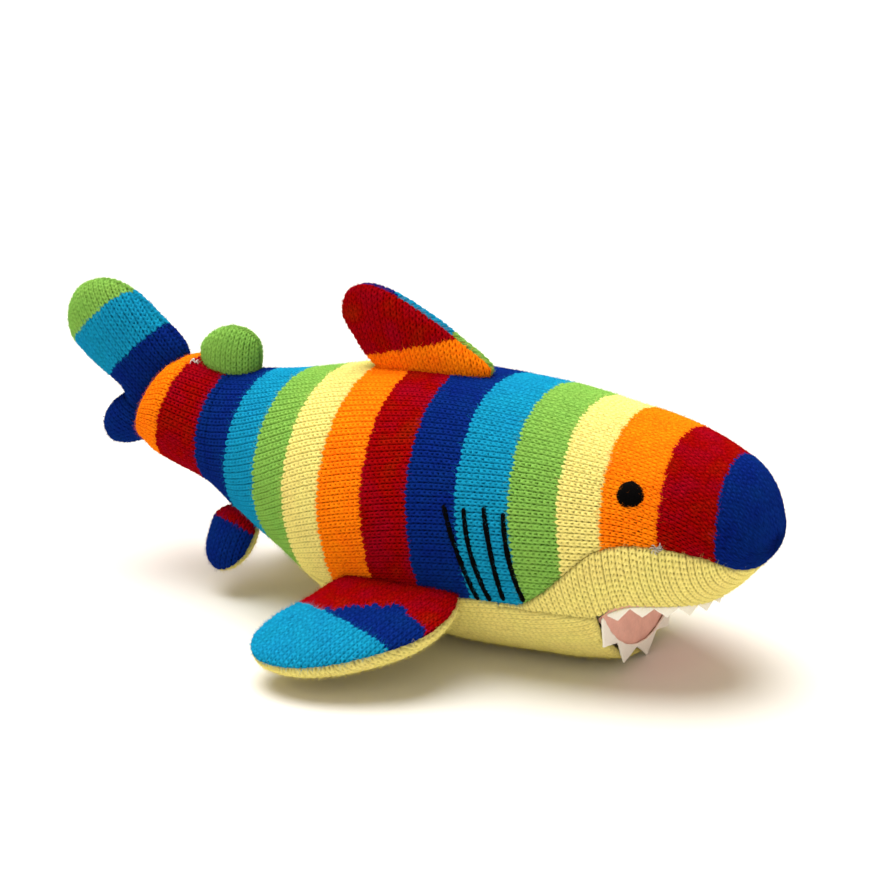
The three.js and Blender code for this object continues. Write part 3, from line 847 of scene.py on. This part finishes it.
dorsal = Lobe(
    fin_axes(joint_place("dorsal_fin_flop"), (-0.04, 0, 1), (1, 0, 0.06)),
    [[-7, 22], [-1, 29], [10, 15], [20, -1], [29, -20], [31, -31], [27.5, -39], [18, -42], [8, -36.5],
     [-2, -28.5], [-8, -18], [-10, 3]],
    (8, -8), 9, rim=-3.2,
)
dorsal_left_bands = banded([(4, "green"), (13, "turquoise"), (99, "blue")])
dorsal_left = fin_panel("dorsal_fin_left_knit", dorsal, 1, dorsal_left_bands, slant=-13)
dorsal_right = fin_panel("dorsal_fin_right_knit", dorsal, -1, banded([(3, "orange"), (99, "red")]), slant=-13)
finish_fin(dorsal_left, ["dorsal_fin_left_panel"], dorsal)
finish_fin(dorsal_right, ["dorsal_fin_right_panel"], dorsal)

second = Lobe(
    fin_axes(joint_place("second_dorsal_fin_flop"), (0.06, 0, 1), (1, 0, -0.07)),
    [[-6, 12.5], [3, 15.2], [11, 13.6], [15, 7.5], [15.2, -2], [10.5, -10.5], [4, -14.8], [-5, -12], [-9, 0]],
    (2, 0), 8.6,
)
green_fin = banded([(99, "green")])
second_left = fin_panel("second_dorsal_fin_left_knit", second, 1, green_fin)
second_right = fin_panel("second_dorsal_fin_right_knit", second, -1, green_fin)
finish_fin(second_left, ["second_dorsal_fin_left_panel"], second)
finish_fin(second_right, ["second_dorsal_fin_right_panel"], second)

tail_axes = fin_axes(joint_place("tail_fin_swing"), (-0.9, 0, 0.44), (0.44, 0, 0.9))
upper_lobe = Lobe(
    tail_axes,
    [[-8, 18], [-3, 26], [15, 31], [35, 34], [48, 31], [57.5, 22], [59.5, 10], [54, -1], [42, -5.5],
     [27, -7.5], [14, -9], [0, -16], [-8, -4]],
    (25, 11), 12.5,
)
lower_lobe = Lobe(
    tail_axes,
    [[-6, -20], [-1, -27], [7, -34], [14, -36.5], [20, -31.5], [20.5, -22], [16, -12], [6, -5], [-6, -8]],
    (8, -18), 10,
)
tail_bands = banded([(8, "blue"), (18, "turquoise"), (99, "green")])
blue_fin = banded([(99, "blue")])
tail_pivot = np.array(JOINT["tail_fin_swing"]["axis"], float)
backwards = np.array([-tail_pivot[2], 0.0, tail_pivot[0]])  # square to the axis the tail fin swings on
for side, label in ((1, "left"), (-1, "right")):
    parts = [
        fin_panel(f"tail_fin_{label}_knit", upper_lobe, side, tail_bands, lowest=-12, slant=21),
        fin_panel(f"tail_fin_{label}_low_knit", lower_lobe, side, blue_fin, lowest=-12),
    ]
    whole = join(parts)
    panel = f"tail_fin_{label}_panel"
    finish_fin(whole, [panel], upper_lobe, backwards)


PECTORAL_RIM = 4.6  # how far above the middle the seam round a front fin lies


def pectoral_lobe(side, label):
    root = joint_place(f"{label}_pectoral_fin_lift")
    return Lobe(
        fin_axes(root, (-0.03, side * 0.958, -0.285), (1, side * -0.03, 0.11)),
        [[-9, 22], [-2, 30.5], [11, 33.5], [26, 29], [41, 14.5], [51, -1], [55.5, -18], [52.5, -33],
         [42, -41.5], [28, -41], [13, -34], [-2, -28], [-9, -18], [-11, 0]],
        (20, -4), 9.2, rim=PECTORAL_RIM * (1 if side < 0 else -1),
    )


def pelvic_lobe(side, label):
    root = joint_place(f"{label}_pelvic_fin_lift")
    return Lobe(
        fin_axes(root, (0.02, side * 0.52, -0.85), (0.93, side * 0.12, 0.1)),
        [[-5, 8], [0, 11.4], [8, 12.5], [17, 9.5], [23, 3], [24, -4], [19, -10.5], [9, -12.5],
         [-1, -11], [-6, 0]],
        (8.5, 0), 6.6,
    )


def pectoral_bands(row, out, across, points):
    """The red reaches further out in a wedge towards the rear edge, where the blue is narrow."""
    column = np.round(across / WALE) * WALE
    red_rows = 2.5 + 0.27 * np.maximum(0, 11 - column) + 0.07 * np.maximum(0, column - 11)
    inner = np.where(row < red_rows, YARN_NUMBER["red"], YARN_NUMBER["blue"])
    return np.where(row < 11, inner, YARN_NUMBER["turquoise"])


pelvic_bands = banded([(1, "red"), (99, "blue")])
cream_fin = banded([(99, "cream")])
for side, label in ((-1, "right"), (1, "left")):
    for kind, lobe, bands in (
        ("pectoral", pectoral_lobe(side, label), pectoral_bands),
        ("pelvic", pelvic_lobe(side, label), pelvic_bands),
    ):
        upper = 1 if lobe.w[2] > 0 else -1
        if kind == "pelvic":
            upper = 1 if lobe.w[1] * side > 0 else -1
        slant = -18 if kind == "pectoral" else -14
        above = fin_panel(f"{label}_{kind}_fin_upper_knit", lobe, upper, bands, slant=slant)
        below = fin_panel(f"{label}_{kind}_fin_lower_knit", lobe, -upper, cream_fin, slant=slant)
        finish_fin(above, [f"{label}_{kind}_fin_upper_panel"], lobe)
        finish_fin(below, [f"{label}_{kind}_fin_lower_panel"], lobe)


# ---- felt, wadding and thread ----
def remeshed(cad, name, voxel, material, smoothing=2, shrink=0.0, rough=0.0):
    """A finer mesh of one CAD solid, smoothed and made slightly uneven."""
    mesh = frame["nodes"][cad].data.copy()
    made = bpy.data.objects.new(name, mesh)
    bpy.context.scene.collection.objects.link(made)
    modifier = made.modifiers.new("fine", "REMESH")
    modifier.mode = "VOXEL"
    modifier.voxel_size = voxel * MM
    soften = made.modifiers.new("soften", "SMOOTH")
    soften.factor = 0.5
    soften.iterations = smoothing
    bpy.context.view_layer.update()
    evaluated = made.evaluated_get(bpy.context.evaluated_depsgraph_get())
    fine = bpy.data.meshes.new_from_object(evaluated)
    made.modifiers.clear()
    made.data = fine
    fine.materials.clear()
    fine.materials.append(material)
    count = len(fine.vertices)
    points = np.zeros(count * 3)
    fine.vertices.foreach_get("co", points)
    points = points.reshape(-1, 3)
    normals = np.zeros(count * 3)
    fine.vertices.foreach_get("normal", normals)
    normals = normals.reshape(-1, 3)
    spot = points / MM
    bumps = soft_noise(spot[:, 0] + spot[:, 2], spot[:, 1] - spot[:, 2] * 0.6, 1.3, 2)
    points = points + normals * ((bumps * rough - shrink) * MM)[:, None]
    fine.vertices.foreach_set("co", points.ravel())
    fine.polygons.foreach_set("use_smooth", np.full(len(fine.polygons), True))
    fine.update()
    return made


for cad, body, material, finish, voxel in (
    ("upper_mouth_lining", "trunk", pink_felt, "pink_felt", 0.5),
    ("lower_mouth_lining", "jaw", pink_felt, "pink_felt", 0.5),
    ("upper_teeth", "trunk", white_felt, "white_felt", 0.3),
    ("lower_teeth", "jaw", white_felt, "white_felt", 0.3),
):
    piece = remeshed(cad, cad + "_felt", voxel, material, smoothing=2, rough=0.12)
    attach(piece, body)
    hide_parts(cad)

for body, nodes in frame["record"]["behaviour"]["bodies"].items():
    for name in nodes:
        if name.endswith("_stuffing"):
            # a fin's filling stays further inside, clear of the trunk's fabric as the fin turns
            inset = 1.0 if body in ("trunk", "jaw") else 2.2
            piece = remeshed(name, name + "_wadding", 3.0, wadding, smoothing=3, shrink=inset, rough=0.5)
            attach(piece, body)
            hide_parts(name)


def on_body(station, degrees, side, lift=0.0):
    """Point, along, round and normal of the body's surface. side is 1 on the left and -1 on the right."""
    angle = np.radians(degrees)
    small = 0.6
    station = np.asarray(station, float)
    point = body_point(station, angle)
    ahead = unit(body_point(station + small, angle) - body_point(station - small, angle))
    round_ = unit(body_point(station, angle + 0.02) - body_point(station, angle - 0.02))
    normal = unit(np.cross(ahead, round_))
    normal = normal * np.where(np.sum(normal * (point - body_middle(point)), -1) < 0, -1, 1)[..., None]
    across = np.cross(normal, ahead)
    mirror = np.array([1, side, 1])
    return (point + normal * lift) * mirror, ahead * mirror, across * mirror, normal * mirror


EYE_STATION = 260.0
EYE_DEGREES = 35.6  # up from the body's widest line


def eye(label, side):
    """Satin-stitched disc: threads laid side by side over a low dome."""
    radius = 5.4
    count = 90
    u, v = np.meshgrid(np.linspace(-1.08, 1.08, count), np.linspace(-1.08, 1.08, count), indexing="ij")
    r = np.hypot(u, v)
    angle = np.arctan2(v, u)
    rim = 1 + 0.035 * np.sin(3 * angle + 0.7) + 0.02 * np.sin(7 * angle)
    r = r / rim
    keep = r < 1.0
    centre, ahead, across, normal = on_body(EYE_STATION, EYE_DEGREES, side)
    tilt = math.radians(24)
    thread = (u * math.cos(tilt) + v * math.sin(tilt)) * radius / 0.62
    ridge = np.sqrt(np.maximum(0, 1 - (2 * (thread - np.floor(thread)) - 1) ** 2))
    height = 2.7 * np.sqrt(np.maximum(0, 1 - np.clip(r, 0, 1) ** 2.6)) - 0.7 + 0.16 * ridge
    points = centre + u[..., None] * radius * ahead + v[..., None] * radius * across
    points = points + height[..., None] * normal
    within = keep[:-1, :-1] & keep[1:, :-1] & keep[:-1, 1:] & keep[1:, 1:]
    piece = add_mesh(f"{label}_eye_stitching", points.reshape(-1, 3), grid_quads(within), [black_thread])
    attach(piece, "trunk")
    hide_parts(f"{label}_eye")


def gill(label, side, number, top, low):
    """One long satin stitch laid down the flank."""
    count, around = 90, 17
    t = np.linspace(-0.01, 1.01, count)
    bow = np.sin(math.pi * t) * (0.6 if number % 2 else -0.5)
    station = top[0] + (low[0] - top[0]) * t + bow
    degrees = top[1] + (low[1] - top[1]) * t
    centre, ahead, across, normal = on_body(station, degrees, side, 0.45)
    path = unit(np.gradient(centre, axis=0))
    flank = unit(np.cross(path, normal))
    phi = np.linspace(-0.15 * math.pi, 1.15 * math.pi, around)
    taper = np.sqrt(np.clip(np.minimum(t + 0.012, 1.012 - t) / 0.03, 0, 1))
    twist = 0.13 * np.sin(phi[None, :] * 2.0 + t[:, None] * 150)
    ragged = 0.16 * (soft_noise(t * 60, t * 0 + number, 1.0, 5) + 0.5 * np.sin(t * 260))
    wide = (1.0 + 0.07 * np.sin(t * 23 + number) + ragged)[:, None] * taper[:, None] + twist * 0.5
    tall = 0.95 * taper[:, None] + twist
    points = (
        centre[:, None, :]
        + (wide * np.cos(phi)[None, :])[..., None] * flank[:, None, :]
        + (tall * np.sin(phi)[None, :])[..., None] * normal[:, None, :]
    )
    keep = np.ones((count - 1, around - 1), bool)
    piece = add_mesh(f"{label}_gill_thread_{number}", points.reshape(-1, 3), grid_quads(keep), [black_thread])
    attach(piece, "trunk")
    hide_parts(f"{label}_gill_stitch_{number}")


# Each gill line's top and low end: station along the body, and degrees up from its widest line. They were
# read off the fitted body and rounded.
GILLS = [
    ((187, 18.5), (195, -20.5)), ((195.5, 18), (200, -20.5)),
    ((204, 19.5), (206, -19.5)), ((212, 18), (214.5, -19)),
]
for side, label in ((-1, "right"), (1, "left")):
    eye(label, side)
    for number, (top, low) in enumerate(GILLS, 1):
        gill(label, side, number, top, low)


def tuft(name, cad, station, degrees, side, material, count, spread, seed):
    """Cut thread ends, tied off on the surface."""
    rng = np.random.default_rng(seed)
    centre, ahead, across, normal = on_body(station, degrees, side, 0.2)
    rings, steps_along = 6, 10
    points, quads = [], []
    for k in range(count):
        direction = rng.uniform(0, 2 * math.pi)
        flat = math.cos(direction) * ahead + math.sin(direction) * across
        curl = math.cos(direction + 1.5) * ahead + math.sin(direction + 1.5) * across
        reach = spread * rng.uniform(0.6, 1.1)
        base = len(points)
        for i in range(steps_along):
            t = i / (steps_along - 1)
            middle = centre + flat * reach * t + curl * reach * 0.45 * math.sin(2.4 * t) + normal * (
                1.7 * math.sin(math.pi * min(1, t * 1.15)) * rng.uniform(0.85, 1.0)
            )
            for j in range(rings):
                a = 2 * math.pi * j / rings
                points.append(middle + 0.24 * (math.cos(a) * normal + math.sin(a) * np.cross(flat, normal)))
        for i in range(steps_along - 1):
            for j in range(rings):
                n = (j + 1) % rings
                quads.append([base + i * rings + j, base + i * rings + n, base + (i + 1) * rings + n,
                              base + (i + 1) * rings + j])
    piece = add_mesh(name, np.array(points), np.array(quads), [material])
    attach(piece, "trunk")
    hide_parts(cad)


tuft("cheek_thread_tuft", "cheek_thread_end", 269.5, 10, -1, grey_thread, 9, 2.6, 3)
tuft("fin_thread_tuft", "fin_thread_end", 21.5, 74, -1, white_thread, 8, 2.4, 4)


# ---- floor, light and camera ----
def floor():
    size = 12.0
    mesh = bpy.data.meshes.new("floor")
    mesh.from_pydata(
        [(-size, -size, 0), (size, -size, 0), (size, size, 0), (-size, size, 0)], [], [(0, 1, 2, 3)]
    )
    material, tree, shader = new_material("paper")
    noise = node(tree, "ShaderNodeTexNoise", (-500, 0), Scale=3.0)
    ramp = colour_ramp(tree, (-200, 0), ((0.0, (0.76, 0.75, 0.73)), (1.0, (0.79, 0.78, 0.76))))
    tree.links.new(noise.outputs["Fac"], ramp.inputs["Fac"])
    tree.links.new(ramp.outputs["Color"], shader.inputs["Base Color"])
    shader.inputs["Roughness"].default_value = 0.9
    mesh.materials.append(material)
    made = bpy.data.objects.new("floor", mesh)
    bpy.context.scene.collection.objects.link(made)


def sun(name, towards, strength, spread, colour):
    """A wide soft light from far away. towards is the direction that it comes from."""
    data = bpy.data.lights.new(name, "SUN")
    data.energy = strength
    data.angle = math.radians(spread)
    data.color = colour
    made = bpy.data.objects.new(name, data)
    made.rotation_euler = Vector(towards).to_track_quat("Z", "Y").to_euler()
    bpy.context.scene.collection.objects.link(made)


floor()
world = bpy.data.worlds.new("studio")
world.use_nodes = True
world.node_tree.nodes["Background"].inputs["Color"].default_value = (1.0, 0.88, 0.72, 1)
world.node_tree.nodes["Background"].inputs["Strength"].default_value = 0.55
bpy.context.scene.world = world
sun("overhead", (-0.25, 0.14, 1.0), 4.8, 58, (1.0, 0.985, 0.96))
sun("front_fill", (0.55, -0.85, 0.55), 0.25, 60, (1.0, 1.0, 1.0))
bpy.context.scene.view_settings.view_transform = "Standard"

# the camera's angles, distance, aim and lens come from the same fit
AZIMUTH, ELEVATION, DISTANCE = math.radians(29.7), math.radians(17.9), 0.8686
target = Vector((0.02174, 0.0, 0.07857))
camera_data = bpy.data.cameras.new("camera")
camera_data.lens = 83.8
camera_data.sensor_width = 36
camera = bpy.data.objects.new("camera", camera_data)
direction = Vector((
    math.sin(AZIMUTH) * math.cos(ELEVATION),
    -math.cos(AZIMUTH) * math.cos(ELEVATION),
    math.sin(ELEVATION),
))
camera.location = target + direction * DISTANCE
camera.rotation_euler = (-direction).to_track_quat("-Z", "Y").to_euler()
bpy.context.scene.collection.objects.link(camera)
bpy.context.scene.camera = camera
